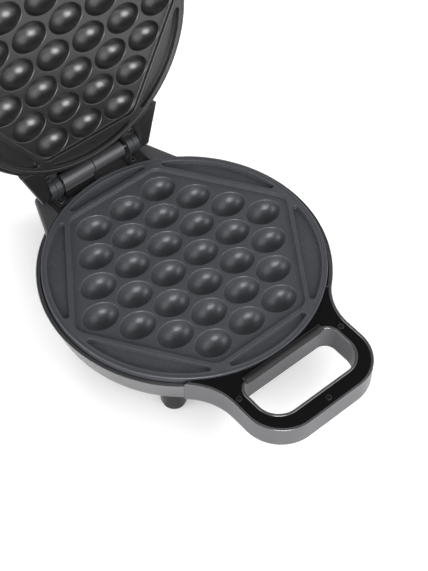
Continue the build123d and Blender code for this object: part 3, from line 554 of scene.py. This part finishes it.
def pocket_outline(r, edge, turn):
    """The crescent between the rim's circle and a tray wall, its tips rounded."""
    tip_y = math.sqrt((r - TIP_R) ** 2 - (edge + TIP_R) ** 2)
    tip = math.degrees(math.atan2(tip_y, edge + TIP_R))
    found = arc(0, 0, r, -tip, tip, POCKET_ARC_STEPS)
    found += arc(edge + TIP_R, tip_y, TIP_R, tip, 180, TIP_STEPS)[1:]
    for i in range(1, POCKET_LINE_STEPS):
        found.append(((edge, tip_y - 2 * tip_y * i / POCKET_LINE_STEPS), (-1.0, 0.0)))
    found += arc(edge + TIP_R, -tip_y, TIP_R, 180, 360 - tip, TIP_STEPS)[:-1]
    c, s = math.cos(turn), math.sin(turn)
    return [((x * c - y * s, x * s + y * c), (nx * c - ny * s, nx * s + ny * c))
            for (x, y), (nx, ny) in found]


def half_width(x):
    """Half the width of a dimple's oval at distance x from its middle."""
    x = min(abs(x), DIMPLE_A)
    if x > DIMPLE_JOIN_X:
        return math.sqrt(max(0, DIMPLE_END_R ** 2 - (x - DIMPLE_END_X) ** 2))
    return math.sqrt(DIMPLE_SIDE_R ** 2 - x ** 2) - (DIMPLE_SIDE_R - DIMPLE_B)


def dimple_outline():
    """The oval's points and outward normals."""
    raw = []
    for i in range(DIMPLE_STEPS):
        t = 2 * math.pi * i / DIMPLE_STEPS
        x = DIMPLE_A * math.cos(t)
        on_axis = abs(math.sin(t)) < 1e-9
        raw.append((x, 0.0 if on_axis else math.copysign(half_width(x), math.sin(t))))
    found = []
    for i, (x, y) in enumerate(raw):
        ax, ay = raw[i - 1]
        bx, by = raw[(i + 1) % DIMPLE_STEPS]
        length = math.hypot(bx - ax, by - ay)
        found.append(((x, y), ((by - ay) / length, -(bx - ax) / length)))
    return found


def dimple(shape, outline, cx, cy, z):
    """A dimple with a rounded edge in the tray's floor; gives the ring of its mouth."""
    rings = []
    for inward, down in reversed(rounding(EDGE_R, EDGE_STEPS)):
        points = [(cx + x, cy + y) for x, y in grown(outline, inward)]
        rings.append(shape.ring(points, z - down))
        if len(rings) > 1:
            shape.band(rings[-2], rings[-1])
    last = rings[-1]
    first = math.asin(EDGE_R / DIMPLE_B)
    for k in range(1, DIMPLE_RINGS):
        share = math.cos(first + (math.pi / 2 - first) * k / DIMPLE_RINGS)
        oval = [(share * x, share * y) for (x, y), _ in outline]
        heights = [z - math.sqrt(max(0.0, half_width(x) ** 2 - y ** 2)) for x, y in oval]
        ring = shape.ring([(cx + x, cy + y) for x, y in oval], heights)
        shape.band(last, ring)
        last = ring
    bottom = shape.bm.verts.new((cx, cy, z - DIMPLE_B))
    for i, v in enumerate(last):
        shape.bm.faces.new((v, last[(i + 1) % len(last)], bottom))
    return rings[0]


def plate(name, plate_r, finish_name, body, node_name, place):
    """Cast plate: grooved rim, six pockets, walled tray and thirty dimples, all edges rounded."""
    tray_z = PLATE_TOP - TRAY_DEPTH
    side_x = plate_r - TRAY_SIDE_IN
    end_y = math.sqrt((plate_r - TRAY_END_IN) ** 2 - TRAY_CX ** 2)
    corners = [(side_x, 0), (TRAY_CX, end_y), (-TRAY_CX, end_y),
               (-side_x, 0), (-TRAY_CX, -end_y), (TRAY_CX, -end_y)]
    rim = circle(plate_r, RIM_STEPS)
    tray = rounded_polygon(corners, TRAY_CORNER_R, TRAY_CORNER_STEPS)
    shape = Shape()
    # Underside
    last = shape.ring(grown(rim, 0), PLATE_TOP - SLAB_T)
    boss_top = shape.ring(grown(tray, 0), PLATE_TOP - SLAB_T)
    boss_low = shape.ring(grown(tray, -BOSS_DRAFT), PLATE_TOP - BOSS_DEPTH)
    shape.plane([last, boss_top], up=False)
    shape.band(boss_low, boss_top)
    shape.plane([boss_low], up=False)
    # Rim wall and rounded edge, then a fine groove round the rim
    for inward, down in (*rounding(EDGE_R, EDGE_STEPS), *GROOVE):
        ring = shape.ring(grown(rim, -inward), PLATE_TOP - down)
        shape.band(last, ring)
        last = ring
    flat_rings = [last]
    # Pockets
    turn = math.atan2(side_x - TRAY_CX, end_y)
    slant = side_x * math.cos(turn) + HEX_WALL
    flat = end_y + HEX_WALL
    for angle, edge in ((turn, slant), (math.pi - turn, slant), (math.pi + turn, slant),
                        (-turn, slant), (math.pi / 2, flat), (-math.pi / 2, flat)):
        outline = pocket_outline(plate_r - RIM_W, edge, angle)
        shape.plane([sunk(shape, outline, PLATE_TOP - POCKET_DEPTH, flat_rings, *POCKET_ROUND)])
    # Tray
    floor_rings = [sunk(shape, tray, tray_z, flat_rings, *TRAY_ROUND)]
    shape.plane(flat_rings)
    # Dimples
    outline = dimple_outline()
    for row, count in DIMPLE_ROWS:
        for i in range(count):
            cx = (i - (count - 1) / 2) * CELL_X
            floor_rings.append(dimple(shape, outline, cx, row * CELL_Y, tray_z))
    shape.plane(floor_rings)
    shape.piece(name, finish_name, body, [node_name], place, PLATE_SHARP)


plate("base_plate_cast", BASE_PLATE_R, "plate", "base", "base_plate", BASE)
plate("lid_plate_cast", LID_PLATE_R, "lid_plate", "lid", "lid_plate", LID)


# Gloss covers, drawn round the outlines of their nodes

# How close to a height a node's vertex is read as on it
FLAT_WITHIN = 0.01

# Least share of a mitre, which keeps sharp corners from growing far out
MITRE_LEAST = 0.5

COVER_EDGE_R = 0.35
SINK_Z = 40.1
SINK_R = 2.85
SINK_STEPS = 40
SINK_EDGE_R = 0.1


def flat_loops(node_name, place, z):
    """Closed outlines of a node's flat face at height z, the largest first, drawn as a base."""
    back = place.inverted() @ Matrix.Scale(1 / MM, 4)
    mesh = frame["nodes"][node_name].data
    co = [back @ v.co for v in mesh.vertices]
    key = [(round(p.x, 3), round(p.y, 3)) for p in co]
    seen = {}
    for face in mesh.polygons:
        if all(abs(co[i].z - z) < FLAT_WITHIN for i in face.vertices):
            ids = [key[i] for i in face.vertices]
            for a, b in zip(ids, ids[1:] + ids[:1]):
                if a != b:
                    edge = (min(a, b), max(a, b))
                    seen[edge] = seen.get(edge, 0) + 1
    border = {}
    for (a, b), uses in seen.items():
        if uses == 1:
            border.setdefault(a, []).append(b)
            border.setdefault(b, []).append(a)
    loops = []
    while border:
        start = min(border)
        loop = [start]
        before, here = None, start
        while True:
            ahead = [p for p in border[here] if p != before]
            before, here = here, ahead[0]
            if here == start:
                break
            loop.append(here)
        for p in loop:
            border.pop(p)
        loops.append(loop)
    return sorted(loops, key=lambda loop: -abs(signed_area(loop)))


def outward(loop, hole):
    """Points and mitred outward normals; an outer loop turns left and a hole turns right."""
    if (signed_area(loop) < 0) != hole:
        loop = loop[::-1]
    found = []
    count = len(loop)
    for i, (x, y) in enumerate(loop):
        ax, ay = loop[i - 1]
        bx, by = loop[(i + 1) % count]
        e1 = Vector((x - ax, y - ay)).normalized()
        e2 = Vector((bx - x, by - y)).normalized()
        n = Vector((e1.y + e2.y, -e1.x - e2.x)).normalized()
        stretch = 1 / max(MITRE_LEAST, n.dot(Vector((e1.y, -e1.x))))
        found.append(((x, y), (n.x * stretch, n.y * stretch)))
    return found


def cover_outlines(node_name, place):
    """A cover's outer edge and its hand hole, as points with normals."""
    outer, hole = flat_loops(node_name, place, COVER_SEAT)[:2]
    return outward(outer, False), outward(hole, True)


def cover(name, node_name, body, place):
    """Gloss cover with rounded edges and round recesses for its three screws."""
    shape = Shape()
    top_rings, low_rings = [], []
    outlines = [(outline, False) for outline in cover_outlines(node_name, place)]
    for cx, cy in COVER_SCREWS:
        wall = [(p, (-n[0], -n[1])) for p, n in reversed(circle(SINK_R, SINK_STEPS, cx, cy))]
        outlines.append((wall, True))
    for outline, recess in outlines:
        last = shape.ring(grown(outline, 0), SINK_Z if recess else COVER_SEAT)
        if recess:
            shape.bm.faces.new(last[::-1])
        else:
            low_rings.append(last)
        for inward, down in rounding(SINK_EDGE_R if recess else COVER_EDGE_R, EDGE_STEPS):
            ring = shape.ring(grown(outline, -inward), HANDLE_Z - down)
            shape.band(last, ring)
            last = ring
        top_rings.append(last)
    shape.plane(top_rings)
    shape.plane(low_rings, up=False)
    shape.piece(name, "cover", body, [node_name], place)


cover("base_handle_gloss", "base_handle_cover", "base", BASE)
cover("lid_handle_gloss", "lid_handle_cover", "lid", LID)


# Half-round beads along the shells' lips and on the handle shells' edges, in a lighter grey than
# the shells as a painted highlight

BEAD_AT = 1.0
BEAD_HALF = 0.85
BEAD_H = 0.4
BEAD_CLEAR = 1.5
LIP_BEAD_HALF = 0.55
LIP_BEAD_H = 0.5
LIP_BEAD_STEPS = 60

# Degrees round the plate that the lips' beads cover, clear of the handle and the hinge
BASE_LIP_SPANS = ((-37, 50), (130, 217))
LID_LIP_SPANS = ((-34, 50), (130, 214))


def lip_bead(name, lip_r, spans, body, place):
    """The fine rounded edge of the shell's lip, left of and right of the plate."""
    shape = Shape()
    for start, end in spans:
        line = arc(0, 0, lip_r, start, end, LIP_BEAD_STEPS)
        shape.half_round(line, False, -LIP_BEAD_HALF, LIP_BEAD_HALF, LIP_Z, LIP_BEAD_H)
    shape.piece(name, "painted_highlight_edge", body, [], place)


def handle_bead(name, line, closed, body, place):
    """A bead on the handle's rim, along a line of points with normals."""
    shape = Shape()
    shape.half_round(line, closed, BEAD_AT, BEAD_HALF, HANDLE_Z, BEAD_H)
    shape.piece(name, "painted_highlight_edge", body, [], place)


def handle_beads(prefix, node_name, lip_r, body, place):
    """Beads along the handle's outer edge and round its hand hole."""
    outer, hole = cover_outlines(node_name, place)
    handle_bead(prefix + "_hole_bead", hole, True, body, place)
    free = [math.hypot(*p) > lip_r + BEAD_CLEAR for p, _ in outer]
    start = next(i for i in range(len(free)) if free[i] and not free[i - 1])
    line = []
    for i in range(len(outer)):
        if not free[(start + i) % len(outer)]:
            break
        line.append(outer[(start + i) % len(outer)])
    handle_bead(prefix + "_outer_bead", line, False, body, place)


lip_bead("base_lip_bead", BASE_PLATE_R + LIP_RIM, BASE_LIP_SPANS, "base", BASE)
lip_bead("lid_lip_bead", LID_PLATE_R + LIP_RIM, LID_LIP_SPANS, "lid", LID)
handle_beads("base_handle", "base_handle_cover", BASE_PLATE_R + LIP_RIM, "base", BASE)
handle_beads("lid_handle", "lid_handle_cover", LID_PLATE_R + LIP_RIM, "lid", LID)


# Screws with a rounded head and a cross recess

COVER_SCREW_LONG = 10.0
BRACKET_SCREW_LONG = 6.5
HEAD_R = 2.45
HEAD_H = 1.2
HEAD_STEPS = 40
HEAD_ROUND = 0.75
HEAD_ROUND_STEPS = 5
SHANK_R = 1.5
SHANK_STEPS = 24
SHANK_TIP_IN = 0.5
SHANK_TIP_H = 1.5
CROSS_HALF = 0.36
CROSS_REACH = 1.5
CROSS_FLOOR = 0.35
CROSS_TAPER = 0.1
CROSS_LIP_H = 0.1
CROSS_LIP_OUT = 0.08
CROSS_TURN = 0.35
CROSS_TURN_STEP = 0.8


def cross(cx, cy, turn):
    """A cross outline with mitred normals, turning right, for a recess."""
    arm = [(CROSS_HALF, CROSS_HALF), (CROSS_HALF, CROSS_REACH), (-CROSS_HALF, CROSS_REACH)]
    loop = []
    for quarter in range(4):
        c, s = math.cos(quarter * math.pi / 2 + turn), math.sin(quarter * math.pi / 2 + turn)
        loop += [(cx + x * c - y * s, cy + x * s + y * c) for x, y in arm]
    return outward(loop, True)


def screws(name, node_name, body, place, seat_z, places, length):
    """A set of screws driven down into seat_z, each cross turned further than the last."""
    shape = Shape()
    head_z = seat_z + HEAD_H
    for number, (cx, cy) in enumerate(places):
        rim = circle(HEAD_R, HEAD_STEPS, cx, cy)
        stem = circle(SHANK_R, SHANK_STEPS, cx, cy)
        tip = shape.ring(grown(stem, -SHANK_TIP_IN), seat_z - length)
        stem_low = shape.ring(grown(stem, 0), seat_z - length + SHANK_TIP_H)
        stem_top = shape.ring(grown(stem, 0), seat_z)
        shape.bm.faces.new(tip[::-1])
        shape.band(tip, stem_low)
        shape.band(stem_low, stem_top)
        last = shape.ring(grown(rim, 0), seat_z)
        shape.plane([last, stem_top], up=False)
        for inward, down in rounding(HEAD_ROUND, HEAD_ROUND_STEPS):
            ring = shape.ring(grown(rim, -inward), head_z - down)
            shape.band(last, ring)
            last = ring
        slot_line = cross(cx, cy, CROSS_TURN + CROSS_TURN_STEP * number)
        floor = shape.ring(grown(slot_line, CROSS_TAPER), seat_z + CROSS_FLOOR)
        mouth = shape.ring(grown(slot_line, 0), head_z - CROSS_LIP_H)
        lip = shape.ring(grown(slot_line, -CROSS_LIP_OUT), head_z)
        shape.bm.faces.new(floor[::-1])
        shape.band(floor, mouth)
        shape.band(mouth, lip)
        shape.plane([last, lip])
    shape.piece(name, "screw", body, [node_name], place, SCREW_SHARP)


screws("base_cover_screw_set", "base_cover_screws", "base", BASE,
       SINK_Z, COVER_SCREWS, COVER_SCREW_LONG)
screws("lid_cover_screw_set", "lid_cover_screws", "lid", LID,
       SINK_Z, COVER_SCREWS, COVER_SCREW_LONG)
screws("base_bracket_screw_set", "base_bracket_screws", "base", BASE,
       BASE_BRACKET_Z, BASE_BRACKET_SCREWS, BRACKET_SCREW_LONG)
screws("lid_bracket_screw_set", "lid_bracket_screws", "lid", LID,
       LID_BRACKET_Z, LID_BRACKET_SCREWS, BRACKET_SCREW_LONG)


# Catch strip: rounded top, a ridged slope down to a sharp overhanging edge

STRIP_HALF = 31.5
STRIP_LIP_HALF = 28.5
RIDGE_PITCH = 1.5
RIDGE_DEPTH = 0.16
RIDGE_STEPS = 4
RIDGE_END_CLEAR = 0.5
STRIP_END_ROUND = 0.8
STRIP_END_DROP = 0.35
STRIP_WELD = 0.001

# The strip's section as (y, z), and which of its points carry the ridges
STRIP_SIDE = ((-92.8, 41.5), (-92.8, 42.6), (-93.0, 43.1), (-93.5, 43.42), (-94.1, 43.5),
              (-94.9, 43.42), (-95.7, 43.1), (-96.5, 42.55), (-97.2, 41.9), (-97.6, 41.35),
              (-97.6, 40.55), (-97.45, 40.5), (-96.0, 40.5), (-95.9, 41.5))
STRIP_RIDGED = (5, 6, 7, 8, 9)


def catch_strip():
    """The latch's catch along the hand hole, with fine ridges across its slope."""
    shape = Shape()
    steps = int(RIDGE_STEPS * 2 * STRIP_HALF / RIDGE_PITCH)
    last = None
    for i in range(steps + 1):
        x = -STRIP_HALF + 2 * STRIP_HALF * i / steps
        near_end = max(0.0, 1 - (STRIP_HALF - abs(x)) / STRIP_END_ROUND)
        wave = RIDGE_DEPTH * max(0.0, math.sin(2 * math.pi * x / RIDGE_PITCH))
        if abs(x) > STRIP_LIP_HALF - RIDGE_END_CLEAR:
            wave = 0.0
        section = []
        for k, (y, z) in enumerate(STRIP_SIDE):
            if k in STRIP_RIDGED:
                z += wave - RIDGE_DEPTH
            if abs(x) > STRIP_LIP_HALF:
                z = max(z, HANDLE_Z)
            if z > HANDLE_Z:
                z = HANDLE_Z + (z - HANDLE_Z) * (1 - STRIP_END_DROP * near_end ** 2)
            section.append(shape.bm.verts.new((x, y, z)))
        if last:
            shape.band(last, section)
        else:
            shape.bm.faces.new(section[::-1])
        last = section
    shape.bm.faces.new(last)
    bmesh.ops.dissolve_degenerate(shape.bm, dist=STRIP_WELD, edges=shape.bm.edges)
    shape.piece("catch_strip_ridged", "strip", "base", ["catch_strip"],
                sharp=STRIP_SHARP)


catch_strip()


# World, floor and light

WHITE = grey(1.0)
AMBIENT = 0.68

# What reflections see of the world: white up to a height, then darker overhead
CEILING_FROM = 0.35
CEILING_TO = 0.7
CEILING_GREY = 0.12

FLOOR_DARK, FLOOR_LIGHT = grey(0.84), grey(0.86)
FLOOR_CLOUD_SCALE, FLOOR_CLOUD_DETAIL = 2.0, 2.0
FLOOR_HALF = 4.0
FLOOR_CELLS = 24
FLOOR_DROP = 0.00005

# The floor's glow for the camera: (distance from a place in the shadow, strength)
FLOOR_DIM_AT = (-0.12, 0.02, 0.0)
FLOOR_GLOW = ((0.0, 0.0), (0.12, 0.0), (0.16, 0.32), (0.45, 0.36), (1.0, 0.5))


def studio_world():
    """An even light, white for the camera, and darker overhead for reflections."""
    world = bpy.data.worlds.new("studio")
    bpy.context.scene.world = world
    world.use_nodes = True
    world.node_tree.nodes.clear()
    n = Nodes(world.node_tree)
    soft = n.add("ShaderNodeBackground", {"Color": WHITE, "Strength": AMBIENT})
    white = n.add("ShaderNodeBackground", {"Color": WHITE, "Strength": 1.0})
    height = n.axes(n.where.outputs["Generated"])["Z"]
    fall = n.spread(height, 1.0, CEILING_GREY, CEILING_FROM, CEILING_TO)
    ceiling = n.joined("ShaderNodeBackground", {"Strength": fall})
    ray = n.add("ShaderNodeLightPath").outputs
    either = n.joined("ShaderNodeMath", {0: ray["Is Camera Ray"], 1: ray["Is Glossy Ray"]},
                      operation="MAXIMUM")
    direct = n.joined("ShaderNodeMath", {0: either, 1: ray["Is Transmission Ray"]},
                      operation="MAXIMUM")
    reflected = n.joined("ShaderNodeMixShader",
                         {0: ray["Is Camera Ray"], 1: ceiling, 2: white.outputs[0]})
    mixed = n.joined("ShaderNodeMixShader", {0: direct, 1: soft.outputs[0], 2: reflected})
    n.link(mixed, n.add("ShaderNodeOutputWorld").inputs["Surface"])


def white_floor():
    """A white floor that keeps the shadow, and glows for the camera away from it."""
    made, n, shader = new_material("white_floor")
    n.tree.nodes.remove(shader)
    clouds = n.noise(FLOOR_CLOUD_SCALE, FLOOR_CLOUD_DETAIL)
    diffuse = n.joined("ShaderNodeBsdfDiffuse", {"Color": n.ramp(clouds, FLOOR_DARK, FLOOR_LIGHT)})
    away = n.add("ShaderNodeVectorMath", {1: FLOOR_DIM_AT}, operation="DISTANCE")
    n.link(n.place, away.inputs[0])
    rise = n.add("ShaderNodeFloatCurve")
    n.link(away.outputs["Value"], rise.inputs["Value"])
    points = rise.mapping.curves[0].points
    for x, y in FLOOR_GLOW[1:-1]:
        points.new(x, y)
    for point, place in zip(points, FLOOR_GLOW):
        point.location = place
    rise.mapping.update()
    glow = n.joined("ShaderNodeEmission", {"Strength": rise.outputs["Value"]})
    no_glow = n.add("ShaderNodeEmission", {"Strength": 0.0})
    seen = n.add("ShaderNodeLightPath").outputs["Is Camera Ray"]
    pick = n.joined("ShaderNodeMixShader", {0: seen, 1: no_glow.outputs[0], 2: glow})
    total = n.joined("ShaderNodeAddShader", {0: diffuse, 1: pick})
    n.link(total, n.tree.nodes["Material Output"].inputs["Surface"])

    bm = bmesh.new()
    bmesh.ops.create_grid(bm, x_segments=FLOOR_CELLS, y_segments=FLOOR_CELLS, size=FLOOR_HALF)
    mesh = bpy.data.meshes.new("floor")
    bm.to_mesh(mesh)
    bm.free()
    mesh.materials.append(made)
    floor = bpy.data.objects.new("floor", mesh)
    floor.location.z = -FLOOR_DROP
    bpy.context.scene.collection.objects.link(floor)


def lamp(name, place, target, size, power, reflected=True):
    """A square soft box, kept out of reflections where reflected is false."""
    data = bpy.data.lights.new(name, "AREA")
    data.shape = "SQUARE"
    data.size = size
    data.energy = power
    obj = bpy.data.objects.new(name, data)
    obj.location = place
    aim = Vector(target) - Vector(place)
    obj.rotation_euler = aim.to_track_quat("-Z", "Y").to_euler()
    obj.visible_glossy = reflected
    bpy.context.scene.collection.objects.link(obj)


studio_world()
white_floor()
lamp("front_box", (-0.75, -1.15, 0.55), (0, 0, 0.08), 0.85, 26.0)
lamp("right_box", (0.7, -1.2, 1.05), (0, 0, 0.05), 1.5, 12.0)
lamp("left_box", (-1.3, 0.4, 0.6), (0, 0, 0.05), 0.8, 7.0)
lamp("back_box", (0.35, 1.5, 0.8), (0, 0, 0.12), 0.9, 12.0, reflected=False)

# Camera, fitted to the rows of dimples, the plate's round rim and the handle
CAM_AZIMUTH = -40.631
CAM_ELEVATION = 51.733
CAM_DISTANCE = 0.856561
CAM_TARGET = Vector((-0.001516, -0.031106, 0.048))
CAM_ROLL = 0.587
CAM_NEAREST = 0.01
FOCAL_PX = 1363.933
IMAGE_H = 571
SENSOR = 36.0


def camera():
    """The photograph's view."""
    a, e = math.radians(CAM_AZIMUTH), math.radians(CAM_ELEVATION)
    back = Vector((math.sin(a) * math.cos(e), -math.cos(a) * math.cos(e), math.sin(e)))
    right = Vector((math.cos(a), math.sin(a), 0))
    data = bpy.data.cameras.new("camera")
    data.sensor_fit = "AUTO"
    data.sensor_width = SENSOR
    data.lens = FOCAL_PX * SENSOR / IMAGE_H
    data.clip_start = CAM_NEAREST
    obj = bpy.data.objects.new("camera", data)
    turn = Matrix((right, back.cross(right), back)).transposed().to_4x4()
    roll = Matrix.Rotation(math.radians(CAM_ROLL), 4, "Z")
    obj.matrix_world = Matrix.Translation(CAM_TARGET + back * CAM_DISTANCE) @ turn @ roll
    bpy.context.scene.collection.objects.link(obj)
    bpy.context.scene.camera = obj


camera()
bpy.context.scene.view_settings.view_transform = "Standard"
